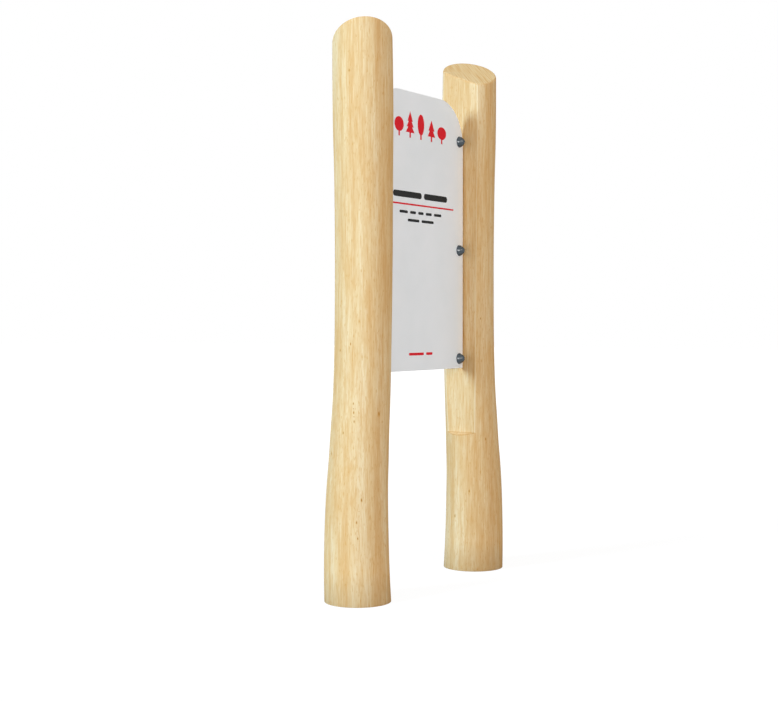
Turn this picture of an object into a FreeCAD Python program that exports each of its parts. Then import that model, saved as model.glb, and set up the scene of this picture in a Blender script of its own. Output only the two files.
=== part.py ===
import FreeCAD, Part
import math
import os

# Park interpretation sign: a printed board held between two natural round posts.
# Millimetres. +Z is up, +X runs along the board from the left post to the right one,
# and the board's printed face looks towards -Y. The origin is on the ground, midway
# between the two posts.

# Board
panel_width = 466.0
panel_height = 770.0
panel_thickness = 10.0
panel_ground_gap = 597.0
panel_top_corner_radius = 124.0
panel_bottom_corner_radius = 2.0
panel_edge_bevel = 0.8
panel_side_gap = 4.0

# Posts. Each station of the form gives a share of the post's height, how far the
# heart has drifted off the foot's centre, and the radius there.
post_rise = 148.0
post_form = (
    (0.00, 0.0, 88.5),
    (0.12, -3.5, 84.6),
    (0.265, 4.5, 78.6),
    (0.40, 14.0, 75.6),
    (0.56, 18.0, 76.0),
    (0.73, 18.0, 77.8),
    (0.86, 16.0, 80.2),
    (1.02, 14.0, 78.0),
)
post_drift_angle = 152.0
top_slope = 30.0
top_uphill_angle = 43.0
top_rim_ease = 5.0
flat_to_foot_centre = 67.0
flat_below_panel = 190.0
ramp_slope = 27.0
flat_edge_ease = 4.0

# Bent steel angles behind the board, one at each post
bracket_thickness = 4.0
bracket_inner_bend = 4.0
bracket_edge_margin = 3.5
bracket_end_margin = 18.0

# Bolts through the board
bolt_count = 3
bolt_lowest_inset = 28.0
bolt_highest_inset = 110.0
bolt_diameter = 8.0
bolt_past_nut = 3.8
hex_across_flats = 13.0
bolt_head_height = 5.3
nut_height = 8.0
washer_diameter = 16.0
washer_thickness = 1.6
panel_hole_clearance = 1.0
steel_hole_clearance = 0.5
washer_hole_clearance = 0.2
nut_clearance = 0.05

# Screws from the brackets into the posts, a quarter of the bolt pitch from each bolt
screw_side_gauge = 27.0
screw_length = 60.0
screw_diameter = 8.0
screw_point_length = 8.0
screw_head_height = 5.5
screw_hole_clearance = 0.1

# Two-part plastic caps over the bolt heads and the nuts
cap_diameter = 33.0
cap_wall = 2.0
cap_corner_clearance = 0.95
cap_base_edge_clearance = 0.2
cap_to_bend_gap = 0.5
cap_base_gap = 2.0
cap_base_thickness = 3.0
cap_base_hole_clearance = 0.25

# Threaded socket in the end grain of each foot
socket_bore_diameter = 16.0
socket_outer_diameter = 24.0
socket_length = 60.0
socket_countersink = 1.0
socket_clearance = 0.05

# Cut film stuck on the board: trees, a rule and plain bars in place of wording
film_thickness = 0.25
film_overlap = 2.0
trees_below_top = 127.0
heading_below_top = 284.0
rule_below_top = 310.5
first_line_below_top = 332.0
second_line_below_top = 354.0
foot_line_above_bottom = 46.0
rule_length = 355.0
rule_thickness = 4.5
tree_trunk_width = 7.0
tree_trunk_height = 14.0
tree_spacing = 56.0
bar_gap = 12.0
heading_bar = 17.0
heading_words = (146.0, 126.0)
first_line_words = (42.0, 30.0, 28.0, 32.0, 40.0)
second_line_words = (60.0, 64.0)
text_bar = 7.5
foot_line_words = (78.0, 34.0)

# Places that follow from the sizes above
panel_top = panel_ground_gap + panel_height
panel_front = -panel_thickness / 2
panel_back = panel_thickness / 2
post_height = panel_top + post_rise
flat_x = panel_width / 2 + panel_side_gap
post_x = flat_x + flat_to_foot_centre
flat_bottom = panel_ground_gap - flat_below_panel
bracket_outer_bend = bracket_inner_bend + bracket_thickness
bracket_leg = bracket_outer_bend + cap_to_bend_gap + cap_diameter + bracket_edge_margin
bracket_back = panel_back + bracket_thickness
bolt_x = flat_x - bracket_outer_bend - cap_to_bend_gap - cap_diameter / 2
bolt_pitch = (panel_height - bolt_lowest_inset - bolt_highest_inset) / (bolt_count - 1)
bolt_heights = [panel_ground_gap + bolt_lowest_inset + i * bolt_pitch for i in range(bolt_count)]
bracket_bottom = bolt_heights[0] - bracket_end_margin
bracket_top = bolt_heights[-1] + bracket_end_margin
screw_y = panel_back + screw_side_gauge
screw_seat_x = flat_x - bracket_thickness
screw_heights = [z + side * bolt_pitch / 4 for z in bolt_heights for side in (-1, 1)][1:-1]
half_hex = hex_across_flats / math.sqrt(3)
front_stack = cap_base_thickness + washer_thickness + bolt_head_height
rear_stack = cap_base_thickness + washer_thickness + nut_height
under_head_y = panel_front - cap_base_thickness - washer_thickness
bolt_length = bracket_back + rear_stack + bolt_past_nut - under_head_y
cap_base_diameter = cap_diameter - 2 * (cap_wall + cap_base_gap)
sides = {"left": -1, "right": 1}


def vec(x, y, z):
    return FreeCAD.Vector(x, y, z)


def cylinder(radius, length, base, direction):
    return Part.makeCylinder(radius, length, base, direction)


def ring(outer_radius, hole_radius, length, base, direction):
    return cylinder(outer_radius, length, base, direction).cut(
        cylinder(hole_radius, length, base, direction)
    )


def hexagon_prism(height, base, direction):
    # Outer end has the usual bevelled corners
    corners = [
        vec(half_hex * math.cos(math.radians(60 * i)), half_hex * math.sin(math.radians(60 * i)), 0)
        for i in range(7)
    ]
    prism = Part.Face(Part.makePolygon(corners)).extrude(vec(0, 0, height))
    bevel_height = (half_hex - hex_across_flats / 2) * math.tan(math.radians(30))
    crown = cylinder(half_hex, height - bevel_height, vec(0, 0, 0), vec(0, 0, 1)).fuse(
        Part.makeCone(half_hex, hex_across_flats / 2, bevel_height, vec(0, 0, height - bevel_height))
    )
    head = prism.common(crown)
    head.Placement = FreeCAD.Placement(base, FreeCAD.Rotation(vec(0, 0, 1), direction))
    return head


def bolt_points(side, y):
    return [vec(side * bolt_x, y, z) for z in bolt_heights]


def screw_points(side, x):
    return [vec(side * x, screw_y, z) for z in screw_heights]


# Posts


def post_blank():
    # Round timber swelling at the foot and drifting to one side, foot centre at the origin
    drift = math.radians(post_drift_angle)
    sections = []
    for share, offset, radius in post_form:
        centre = vec(offset * math.cos(drift), offset * math.sin(drift), share * post_height)
        sections.append(Part.Wire(Part.Circle(centre, vec(0, 0, 1), radius).toShape()))
    return Part.makeLoft(sections, True, False)


def above_top_cut():
    # Everything above the slanted saw cut, whose highest point is at the post's full height
    uphill = math.radians(top_uphill_angle)
    drift = math.radians(post_drift_angle)
    offset, radius = post_form[-1][1:]
    high_point = vec(
        offset * math.cos(drift) + radius * math.cos(uphill),
        offset * math.sin(drift) + radius * math.sin(uphill),
        post_height,
    )
    reach = 4 * radius
    block = Part.makeBox(2 * reach, 2 * reach, reach, vec(-reach, -reach, 0))
    block.rotate(vec(0, 0, 0), vec(0, 1, 0), -top_slope)
    block.rotate(vec(0, 0, 0), vec(0, 0, 1), top_uphill_angle)
    block.translate(high_point)
    return block


def beyond_flat():
    # What is sawn off on the board's side, down to a ramp that runs out to the bark side
    reach = 2 * post_form[0][2]
    drop = (reach - flat_to_foot_centre) * math.tan(math.radians(ramp_slope))
    outline = [
        vec(-flat_to_foot_centre, -reach, flat_bottom),
        vec(-flat_to_foot_centre, -reach, post_height + reach),
        vec(-reach, -reach, post_height + reach),
        vec(-reach, -reach, flat_bottom - drop),
    ]
    return Part.Face(Part.makePolygon(outline + outline[:1])).extrude(vec(0, 2 * reach, 0))


def flat_edges(post):
    # The two long edges of the sawn flat
    found = []
    for edge in post.Edges:
        box = edge.BoundBox
        on_flat = abs(box.XMin + flat_to_foot_centre) < 0.01 and abs(box.XMax + flat_to_foot_centre) < 0.01
        if on_flat and box.ZLength > post_height / 4:
            found.append(edge)
    return found


def top_edges(post):
    # The rim of the slanted top
    top = max(post.Faces, key=lambda face: face.CenterOfMass.z)
    return top.Edges


def shaped_post():
    post = post_blank().cut(above_top_cut()).cut(beyond_flat())
    post = post.makeFillet(flat_edge_ease, flat_edges(post))
    return post.makeFillet(top_rim_ease, top_edges(post))


def post(side, form):
    # Both posts are one form: the left one is turned half round
    piece = form.copy()
    if side < 0:
        piece.rotate(vec(0, 0, 0), vec(0, 0, 1), 180)
    piece.translate(vec(side * post_x, 0, 0))
    for point in screw_points(side, flat_x):
        piece = piece.cut(screw_body(side, point, screw_hole_clearance))
    foot_centre = vec(side * post_x, 0, 0)
    radius = socket_outer_diameter / 2 + socket_clearance
    pocket = cylinder(radius, socket_length + socket_countersink, foot_centre, vec(0, 0, 1))
    mouth = Part.makeCone(radius + socket_countersink, radius, socket_countersink, foot_centre)
    return piece.cut(pocket.fuse(mouth))


def foot_socket(side):
    return ring(
        socket_outer_diameter / 2,
        socket_bore_diameter / 2,
        socket_length,
        vec(side * post_x, 0, socket_countersink),
        vec(0, 0, 1),
    )


# Board


def panel_outline():
    half = panel_width / 2
    top_r = panel_top_corner_radius
    low_r = panel_bottom_corner_radius
    bend = math.sqrt(0.5)

    def point(x, z):
        return vec(x, panel_front, z)

    def corner(x, z, radius, sx, sz):
        # Quarter circle from the board's side to its top or bottom edge
        middle = point(sx * (x - radius + radius * bend), z + sz * radius * (bend - 1))
        return Part.Arc(point(sx * x, z - sz * radius), middle, point(sx * (x - radius), z)).toShape()

    edges = [
        corner(half, panel_top, top_r, 1, 1),
        Part.LineSegment(point(half - top_r, panel_top), point(top_r - half, panel_top)).toShape(),
        corner(half, panel_top, top_r, -1, 1),
        Part.LineSegment(
            point(-half, panel_top - top_r), point(-half, panel_ground_gap + low_r)
        ).toShape(),
        corner(half, panel_ground_gap, low_r, -1, -1),
        Part.LineSegment(
            point(low_r - half, panel_ground_gap), point(half - low_r, panel_ground_gap)
        ).toShape(),
        corner(half, panel_ground_gap, low_r, 1, -1),
        Part.LineSegment(point(half, panel_ground_gap + low_r), point(half, panel_top - top_r)).toShape(),
    ]
    return Part.Wire(Part.__sortEdges__(edges))


def sign_panel():
    board = Part.Face(panel_outline()).extrude(vec(0, panel_thickness, 0))
    rim = [edge for edge in board.Edges if edge.BoundBox.YLength < panel_edge_bevel]
    board = board.makeChamfer(panel_edge_bevel, rim)
    radius = bolt_diameter / 2 + panel_hole_clearance
    for point in bolt_points(-1, panel_front) + bolt_points(1, panel_front):
        board = board.cut(cylinder(radius, panel_thickness, point, vec(0, 1, 0)))
    return board


# Brackets and their screws


def bracket(side):
    # Plan outline of the bent angle, with its heel between the board's back and the post's flat
    inner = bracket_inner_bend
    outer = bracket_outer_bend
    bend = math.sqrt(0.5)

    def point(from_flat, behind_board):
        return vec(side * (flat_x - from_flat), panel_back + behind_board, bracket_bottom)

    far = bracket_leg
    thick = bracket_thickness
    edges = [
        Part.LineSegment(point(far, 0), point(outer, 0)).toShape(),
        Part.Arc(
            point(outer, 0), point(outer * (1 - bend), outer * (1 - bend)), point(0, outer)
        ).toShape(),
        Part.LineSegment(point(0, outer), point(0, far)).toShape(),
        Part.LineSegment(point(0, far), point(thick, far)).toShape(),
        Part.LineSegment(point(thick, far), point(thick, outer)).toShape(),
        Part.Arc(
            point(thick, outer),
            point(outer - inner * bend, outer - inner * bend),
            point(outer, thick),
        ).toShape(),
        Part.LineSegment(point(outer, thick), point(far, thick)).toShape(),
        Part.LineSegment(point(far, thick), point(far, 0)).toShape(),
    ]
    angle = Part.Face(Part.Wire(edges)).extrude(vec(0, 0, bracket_top - bracket_bottom))
    for hole in bolt_points(side, panel_back):
        radius = bolt_diameter / 2 + steel_hole_clearance
        angle = angle.cut(cylinder(radius, bracket_thickness, hole, vec(0, 1, 0)))
    for hole in screw_points(side, screw_seat_x):
        radius = screw_diameter / 2 + steel_hole_clearance
        angle = angle.cut(cylinder(radius, bracket_thickness, hole, vec(side, 0, 0)))
    return angle


def screw_body(side, flat_point, clearance):
    # The part of a screw that sits in the wood, from the flat inwards, with its point
    depth = screw_length - washer_thickness - bracket_thickness
    radius = screw_diameter / 2 + clearance
    into_wood = vec(side, 0, 0)
    plain = depth - screw_point_length
    tip_base = flat_point + into_wood * plain
    tip = Part.makeCone(radius, radius / 4, screw_point_length, tip_base, into_wood)
    return cylinder(radius, plain, flat_point, into_wood).fuse(tip)


def coach_screw(side, flat_point):
    into_wood = vec(side, 0, 0)
    under_head = flat_point - into_wood * (bracket_thickness + washer_thickness)
    neck = cylinder(screw_diameter / 2, bracket_thickness + washer_thickness, under_head, into_wood)
    head = hexagon_prism(screw_head_height, under_head, vec(-side, 0, 0))
    return screw_body(side, flat_point, 0.0).fuse(neck).fuse(head).removeSplitter()


def washer(base, direction):
    hole = bolt_diameter / 2 + washer_hole_clearance
    return ring(washer_diameter / 2, hole, washer_thickness, base, direction)


def coach_screws(side):
    return [coach_screw(side, point) for point in screw_points(side, flat_x)]


def coach_washers(side):
    return [washer(point, vec(-side, 0, 0)) for point in screw_points(side, screw_seat_x)]


# Bolts, nuts and caps. The front stack grows towards -Y and the rear one towards +Y.


def panel_bolts(side):
    bolts = []
    for seat in bolt_points(side, under_head_y):
        shank = cylinder(bolt_diameter / 2, bolt_length, seat, vec(0, 1, 0))
        head = hexagon_prism(bolt_head_height, seat, vec(0, -1, 0))
        bolts.append(shank.fuse(head))
    return bolts


def front_washers(side):
    return [washer(p, vec(0, -1, 0)) for p in bolt_points(side, panel_front - cap_base_thickness)]


def rear_washers(side):
    return [washer(p, vec(0, 1, 0)) for p in bolt_points(side, bracket_back + cap_base_thickness)]


def lock_nuts(side):
    nuts = []
    for seat in bolt_points(side, bracket_back + cap_base_thickness + washer_thickness):
        body = hexagon_prism(nut_height, seat, vec(0, 1, 0))
        bore = cylinder(bolt_diameter / 2 + nut_clearance, nut_height, seat, vec(0, 1, 0))
        nuts.append(body.cut(bore))
    return nuts


def cap_base(seat, direction):
    hole = bolt_diameter / 2 + cap_base_hole_clearance
    return ring(cap_base_diameter / 2, hole, cap_base_thickness, seat, direction)


def dome(radius, height):
    # Solid of a parabola turned about Z, open side down at z 0
    curve = Part.BezierCurve()
    curve.setPoles([vec(radius, 0, 0), vec(radius / 2, 0, height), vec(0, 0, height)])
    outline = Part.Wire(
        [
            Part.LineSegment(vec(0, 0, 0), vec(radius, 0, 0)).toShape(),
            curve.toShape(),
            Part.LineSegment(vec(0, 0, height), vec(0, 0, 0)).toShape(),
        ]
    )
    return Part.Face(outline).revolve(vec(0, 0, 0), vec(0, 0, 1), 360)


def cap(seat, direction, stack, bolt_beyond):
    # Just tall enough for the dome's inside to clear what it covers: the hexagon's corners at the
    # stack's end, the end of the bolt beyond them, and the edge of the base
    outer = cap_diameter / 2
    inner = outer - cap_wall
    covered = (
        (half_hex + cap_corner_clearance, stack),
        (bolt_diameter / 2 + cap_corner_clearance, stack + bolt_beyond),
        (cap_base_diameter / 2 + cap_base_edge_clearance, cap_base_thickness),
    )
    inner_height = max(height / (1 - (reach / inner) ** 2) for reach, height in covered)
    shell = dome(outer, inner_height + cap_wall).cut(dome(inner, inner_height))
    shell.Placement = FreeCAD.Placement(seat, FreeCAD.Rotation(vec(0, 0, 1), direction))
    return shell


def front_cap_bases(side):
    return [cap_base(p, vec(0, -1, 0)) for p in bolt_points(side, panel_front)]


def front_caps(side):
    return [cap(p, vec(0, -1, 0), front_stack, 0.0) for p in bolt_points(side, panel_front)]


def rear_cap_bases(side):
    return [cap_base(p, vec(0, 1, 0)) for p in bolt_points(side, bracket_back)]


def rear_caps(side):
    return [cap(p, vec(0, 1, 0), rear_stack, bolt_past_nut) for p in bolt_points(side, bracket_back)]


# Film on the board's face


def film(face):
    return face.extrude(vec(0, -film_thickness, 0))


def film_polygon(points):
    corners = [vec(x, panel_front, z) for x, z in points]
    return Part.Face(Part.makePolygon(corners + corners[:1]))


def film_box(x, z, width, height):
    return film_polygon([(x, z), (x + width, z), (x + width, z + height), (x, z + height)])


def film_disc(x, z, half_width, half_height):
    disc = Part.Face(Part.Wire(Part.Circle(vec(0, 0, 0), vec(0, 1, 0), 1).toShape()))
    stretch = FreeCAD.Matrix()
    stretch.scale(half_width, 1, half_height)
    disc = disc.transformGeometry(stretch)
    disc.translate(vec(x, panel_front, z))
    return disc


def bars(words, bar_thickness, height):
    # One line of plain bars with round ends, centred on the board
    x = -(sum(words) + bar_gap * (len(words) - 1)) / 2
    end = bar_thickness / 2
    line = []
    for width in words:
        body = film_box(x + end, height - end, width - bar_thickness, bar_thickness)
        for end_x in (x + end, x + width - end):
            body = body.fuse(film_disc(end_x, height, end, end))
        line.append(film(body.removeSplitter()))
        x += width + bar_gap
    return line


def trunk(x):
    ground = panel_top - trees_below_top
    return film_box(x - tree_trunk_width / 2, ground, tree_trunk_width, tree_trunk_height)


def fir(x, tiers, tier_width, tier_height):
    # Stacked triangles, each a little narrower than the one below
    tree = trunk(x)
    base = panel_top - trees_below_top + tree_trunk_height
    for tier in range(tiers):
        half = tier_width / 2 * (1 - 0.2 * tier)
        low = base + tier * tier_height * 0.55
        tree = tree.fuse(film_polygon([(x - half, low), (x + half, low), (x, low + tier_height)]))
    return film(tree.removeSplitter())


def broadleaf(x, crown_width, crown_height):
    trunk_top = panel_top - trees_below_top + tree_trunk_height
    crown_centre = trunk_top + crown_height / 2 - film_overlap
    crown = film_disc(x, crown_centre, crown_width / 2, crown_height / 2)
    return film(trunk(x).fuse(crown).removeSplitter())


def trees():
    return [
        broadleaf(-2 * tree_spacing, 46.0, 40.0),
        fir(-tree_spacing, 3, 44.0, 28.0),
        broadleaf(0.0, 34.0, 58.0),
        fir(tree_spacing, 2, 40.0, 30.0),
        broadleaf(2 * tree_spacing, 48.0, 36.0),
    ]


def red_graphics():
    rule_bottom = panel_top - rule_below_top - rule_thickness / 2
    rule = film(film_box(-rule_length / 2, rule_bottom, rule_length, rule_thickness))
    foot_line = bars(foot_line_words, text_bar, panel_ground_gap + foot_line_above_bottom)
    return trees() + [rule] + foot_line


def black_graphics():
    return (
        bars(heading_words, heading_bar, panel_top - heading_below_top)
        + bars(first_line_words, text_bar, panel_top - first_line_below_top)
        + bars(second_line_words, text_bar, panel_top - second_line_below_top)
    )


def save(name, shapes):
    solids = [solid for shape in shapes for solid in shape.Solids]
    whole = solids[0] if len(solids) == 1 else Part.makeCompound(solids)
    whole.exportStep("parts/" + name + ".step")


os.makedirs("parts", exist_ok=True)
form = shaped_post()
save("sign_panel", [sign_panel()])
save("red_graphics", red_graphics())
save("black_graphics", black_graphics())
for side_name, side in sides.items():
    save(side_name + "_post", [post(side, form)])
    save(side_name + "_foot_socket", [foot_socket(side)])
    save(side_name + "_bracket", [bracket(side)])
    save(side_name + "_coach_screws", coach_screws(side))
    save(side_name + "_coach_washers", coach_washers(side))
    save(side_name + "_panel_bolts", panel_bolts(side))
    save(side_name + "_front_washers", front_washers(side))
    save(side_name + "_front_cap_bases", front_cap_bases(side))
    save(side_name + "_front_caps", front_caps(side))
    save(side_name + "_rear_washers", rear_washers(side))
    save(side_name + "_lock_nuts", lock_nuts(side))
    save(side_name + "_rear_cap_bases", rear_cap_bases(side))
    save(side_name + "_rear_caps", rear_caps(side))
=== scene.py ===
import math
import bmesh
import bpy
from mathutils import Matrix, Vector


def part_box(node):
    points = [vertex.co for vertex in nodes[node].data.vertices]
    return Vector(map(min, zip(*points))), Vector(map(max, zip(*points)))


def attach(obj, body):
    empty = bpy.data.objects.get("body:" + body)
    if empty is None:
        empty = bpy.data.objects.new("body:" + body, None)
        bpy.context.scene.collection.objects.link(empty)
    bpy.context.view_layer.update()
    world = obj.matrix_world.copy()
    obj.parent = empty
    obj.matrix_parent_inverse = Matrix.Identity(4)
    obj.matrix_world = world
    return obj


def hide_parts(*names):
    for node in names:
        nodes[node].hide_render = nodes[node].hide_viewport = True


# Park sign: a printed board held between two natural round posts, in metres and in the packed
# model's frame. The board's face looks towards -Y, and the camera stands off its left end.
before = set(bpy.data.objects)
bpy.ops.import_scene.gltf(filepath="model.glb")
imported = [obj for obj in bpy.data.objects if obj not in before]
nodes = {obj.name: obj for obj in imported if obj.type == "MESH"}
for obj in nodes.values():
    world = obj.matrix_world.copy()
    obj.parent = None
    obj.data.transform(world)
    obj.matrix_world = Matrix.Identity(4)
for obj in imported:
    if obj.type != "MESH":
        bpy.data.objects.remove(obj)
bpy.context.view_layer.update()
scene = bpy.context.scene
mm = 0.001
print("frame loaded:", len(nodes), "nodes")


def linearColour(hexText):
    # sRGB hex to the linear colour that a shader takes
    channels = [int(hexText[i:i + 2], 16) / 255 for i in (1, 3, 5)]
    return [c / 12.92 if c <= 0.04045 else ((c + 0.055) / 1.055) ** 2.4 for c in channels] + [1.0]


def addNode(tree, kind, inputs=(), **settings):
    # Adds a node with its settings. An input is a value, a socket, or a node for its first output.
    node = tree.nodes.new(kind)
    for name, value in settings.items():
        setattr(node, name, value)
    for key, value in inputs.items() if isinstance(inputs, dict) else enumerate(inputs):
        if isinstance(value, bpy.types.Node):
            value = value.outputs[0]
        if isinstance(value, bpy.types.NodeSocket):
            tree.links.new(value, node.inputs[key])
        else:
            node.inputs[key].default_value = value
    return node


def newTree(name, sizes, results=None):
    # A geometry tree with a named input for each size, and its results or a geometry at the end
    tree = bpy.data.node_groups.new(name, "GeometryNodeTree")
    sides = (("INPUT", sizes), ("OUTPUT", results or {"Geometry": None}))
    for side, sockets in sides:
        for label, value in sockets.items():
            form = {int: "Int", float: "Float", type(None): "Geometry"}.get(type(value), "Vector")
            tree.interface.new_socket(label, in_out=side, socket_type="NodeSocket" + form)
    return tree


def runTree(tree, name, sizes, body="root", points=None):
    # Runs a tree with its sizes on a mesh of points, and keeps the result as a plain mesh
    piece = bpy.data.objects.new(name, points or bpy.data.meshes.new(name))
    scene.collection.objects.link(piece)
    modifier = piece.modifiers.new(tree.name, "NODES")
    modifier.node_group = tree
    for socket in tree.interface.items_tree:
        if socket.in_out == "INPUT" and socket.name in sizes:
            modifier[socket.identifier] = sizes[socket.name]
    evaluated = piece.evaluated_get(bpy.context.evaluated_depsgraph_get())
    mesh = bpy.data.meshes.new_from_object(evaluated)
    piece.modifiers.remove(modifier)
    piece.data = mesh
    piece.data.name = name
    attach(piece, body)
    return piece


def newMaterial(name):
    # An empty node material and its tree
    material = bpy.data.materials.new(name)
    material.use_nodes = True
    material.node_tree.nodes.clear()
    return material, material.node_tree


# The part of its range of 0 to 1 that a noise seldom leaves
noiseRange = (0.3, 0.7)


def finishSurface(tree, look, colour, pattern, height, more):
    # The shared end of the materials: the roughness follows a pattern, and the bump a height
    rough = addNode(tree, "ShaderNodeMapRange", (pattern, *noiseRange, *look["roughness"]))
    bump = addNode(
        tree, "ShaderNodeBump",
        {"Strength": look["bump"], "Distance": look["bumpDepth"], "Height": height},
    )
    surface = addNode(
        tree, "ShaderNodeBsdfPrincipled",
        {"Base Color": colour, "Roughness": rough, "Normal": bump, **more},
    )
    addNode(tree, "ShaderNodeOutputMaterial", (surface,))


# Posts: peeled round timber, sawn flat on the board's side and slanting at the top.
# Each station of the form: share of the height, drift of the heart and radius in millimetres.
post = {
    "form": (
        (0.00, 0.0, 88.5), (0.12, -3.5, 84.6), (0.265, 4.5, 78.6), (0.40, 14.0, 75.6),
        (0.56, 18.0, 76.0), (0.73, 18.0, 77.8), (0.86, 16.0, 80.2), (1.02, 14.0, 78.0),
    ),
    "height": 1515 * mm,
    "driftAngle": math.radians(152),
    "topSlope": math.radians(30),
    "uphillAngle": math.radians(43),
    "rimEase": 5.3 * mm,
    "flatBelowBoard": 190 * mm,
    "rampSlope": math.radians(27),
    "edgeEase": 1.6 * mm,
    "leastFlat": 0.96,  # cosine of the flat's least half angle
    # Widths of the band at the flat's edges (a painted highlight above the ramp, a dark mark along it) and
    # of the mark at the top of the ramp
    "edgeHighlightAndMark": 2.2 * mm,
    "creaseMark": 1.5 * mm,
    # Hollows of the peeling knife: depth, radius and stretch of the tube that their noise is read
    # on, and the noise's scale per metre
    "hollowDepth": 1.3 * mm,
    "hollowRing": 80 * mm,
    "hollowStretch": 0.4,
    "hollowScale": 11,
    # Columns round the post, the share of the way round that the flat takes up, and the curve that
    # crowds the columns at its edges
    "columns": 176,
    "flatShare": 0.36,
    "crowding": ((0, 0), (0.31, 0.345), (0.40, 0.378), (1, 1)),
    # Rows from the foot up, those of the ramp lying in this zone about the flat's lower end
    "rows": {"low": 77, "ramp": 34, "high": 206, "rim": 7, "top": 22},
    "rampZone": (-23 * mm, 5 * mm),
    "footTop": 1.2 * mm,
    "endGrainBend": (0.5, 1.3),  # radians of the rim's bend over which the end grain comes in
    "weld": 0.1 * mm,
    # Foot, from the socket pocket's end to the outside: share of the radius, offset, height
    "foot": (
        (0, 0, 61 * mm), (0, 11.4 * mm, 61 * mm), (0, 12.05 * mm, 60.4 * mm), (0, 12.05 * mm, 1.5 * mm),
        (0, 12.1 * mm, 1 * mm), (0, 13.0 * mm, 0.05 * mm), (0, 13.6 * mm, 0), (1, -2 * mm, 0),
        (1, -1.2 * mm, 0), (1, -0.35 * mm, 0.3 * mm),
    ),
}
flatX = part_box("right_bracket")[1].x
postX = (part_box("right_foot_socket")[0].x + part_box("right_foot_socket")[1].x) / 2
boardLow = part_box("sign_panel")[0]
# Knots: turn round the post from +X in degrees, height and radius in millimetres
knots = {
    "left": (
        (-111, 496, 2.6), (-147, 276, 2.2), (-170, 676, 1.6), (163, 659, 1.8), (-163, 523, 1.5),
        (-162, 500, 1.7), (-161, 477, 1.6), (178, 447, 1.6), (149, 391, 2.2), (-155, 219, 1.8),
        (-153, 178, 1.6), (-171, 1376, 1.8), (60, 930, 4.5), (25, 310, 5.0), (112, 1180, 5.5),
        (98, 640, 3.6), (-60, 240, 3.0),
    ),
    "right": (
        (-92, 1010, 1.8), (-124, 742, 1.6), (-112, 388, 2.0), (-150, 236, 1.8),
        (-66, 1150, 3.4), (-20, 690, 4.4), (35, 1240, 4.0), (80, 860, 5.0), (20, 330, 4.2),
        (118, 520, 4.0), (172, 160, 2.0), (-58, 130, 3.4),
    ),
}
# Where the knots lie: how far from the heart, the heart's drift at their usual height, and how deep
# a branch goes. The grain parts round each in a long eye.
knotPlan = {
    "ring": 78 * mm, "drift": 14 * mm, "depth": 20 * mm, "eye": (0.62, 0.62, 0.24), "parting": 0.9,
}
sectionSizes = {
    "Foot to flat": postX - flatX,
    "Flat bottom": boardLow.z - post["flatBelowBoard"],
    "Ramp slope": post["rampSlope"],
    "Edge ease": post["edgeEase"],
    "Hollow depth": post["hollowDepth"],
    "Seed": 0.0,
}


def bendCurve(node, places, handles="AUTO"):
    # Gives a float curve its points
    points = node.mapping.curves[0].points
    for place in places[2:]:
        points.new(*place)
    for point, place in zip(points, sorted(places)):
        point.location = place
        point.handle_type = handles
    node.mapping.update()


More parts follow.
